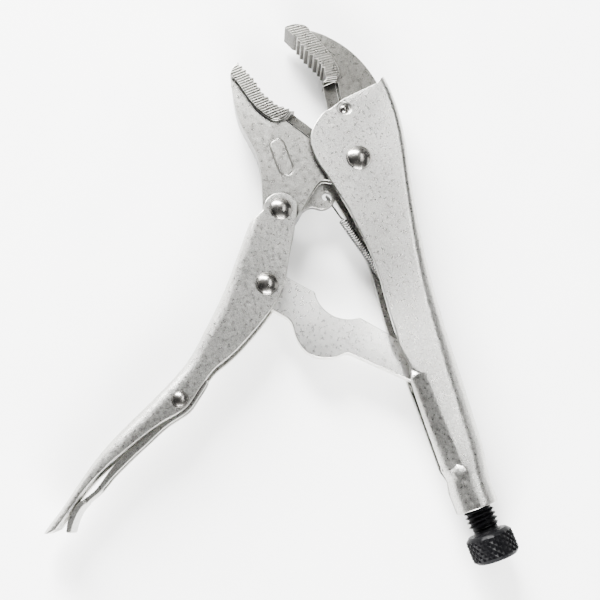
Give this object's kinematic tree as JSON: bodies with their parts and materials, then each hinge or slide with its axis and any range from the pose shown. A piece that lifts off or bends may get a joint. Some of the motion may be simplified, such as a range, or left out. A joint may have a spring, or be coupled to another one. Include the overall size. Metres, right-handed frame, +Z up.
{
  "type": "locking pliers",
  "caption": "Curved-jaw locking pliers with wire cutter, toggle lever, quick-release lever, return spring and knurled adjusting screw, shown open.",
  "frame": {"origin": "middle of the tool's bounding box, on the surface it lies on", "axes": "+X along the adjusting screw towards the jaws, +Y towards the moving lever, +Z up through the flanks"},
  "size_m": [0.2454, 0.1942, 0.0188],
  "materials": {
    "plated_handle": "satin nickel-plated pressed sheet steel",
    "forged_jaw": "satin plated forged steel",
    "polished_rivet": "polished domed steel",
    "spring_wire": "drawn spring wire",
    "black_oxide": "black oxide on turned steel"
  },
  "bodies": {
    "handle": {"fixed_handle": "plated_handle", "fixed_jaw": "forged_jaw", "main_pivot_rivet": "polished_rivet", "fixed_jaw_rivet": "polished_rivet", "return_spring": "spring_wire"},
    "jaw": {"movable_jaw": "forged_jaw"},
    "lever": {"lever_handle": "plated_handle", "jaw_lever_rivet": "polished_rivet", "link_rivet": "polished_rivet", "release_rivet": "polished_rivet"},
    "link": {"toggle_link": "plated_handle"},
    "release": {"release_lever": "plated_handle"},
    "screw": {"adjusting_screw": "black_oxide"}
  },
  "joints": [
    {"name": "jaw_pivot", "type": "hinge", "parent": "handle", "child": "jaw", "pos_m": [0.04975, -0.07013, 0.0094], "axis": [0, 0, -1], "range_deg": [0, 20.5], "stiffness_Nm_per_rad": 0.3, "springref_deg": -28.65, "deforming": ["return_spring"]},
    {"name": "lever_pivot", "type": "hinge", "parent": "jaw", "child": "lever", "pos_m": [0.03825, -0.03013, 0.0094], "axis": [0, 0, 1], "range_deg": [0, 68]},
    {"name": "link_pivot", "type": "hinge", "parent": "lever", "child": "link", "pos_m": [0.00875, -0.01363, 0.0094], "axis": [0, 0, -1], "range_deg": [0, 70.7]},
    {"name": "release_pivot", "type": "hinge", "parent": "lever", "child": "release", "pos_m": [-0.02475, 0.03407, 0.0094], "axis": [0, 0, 1], "range_deg": [0, 10]},
    {"name": "screw_travel", "type": "slide", "parent": "handle", "child": "screw", "axis": [-1, 0, 0], "range_m": [0, 0.018]}
  ],
  "couplings": [
    {"joint": "lever_pivot", "follows": "jaw_pivot", "ratio": 3.2927},
    {"joint": "link_pivot", "follows": "jaw_pivot", "ratio": 3.4244}
  ]
}
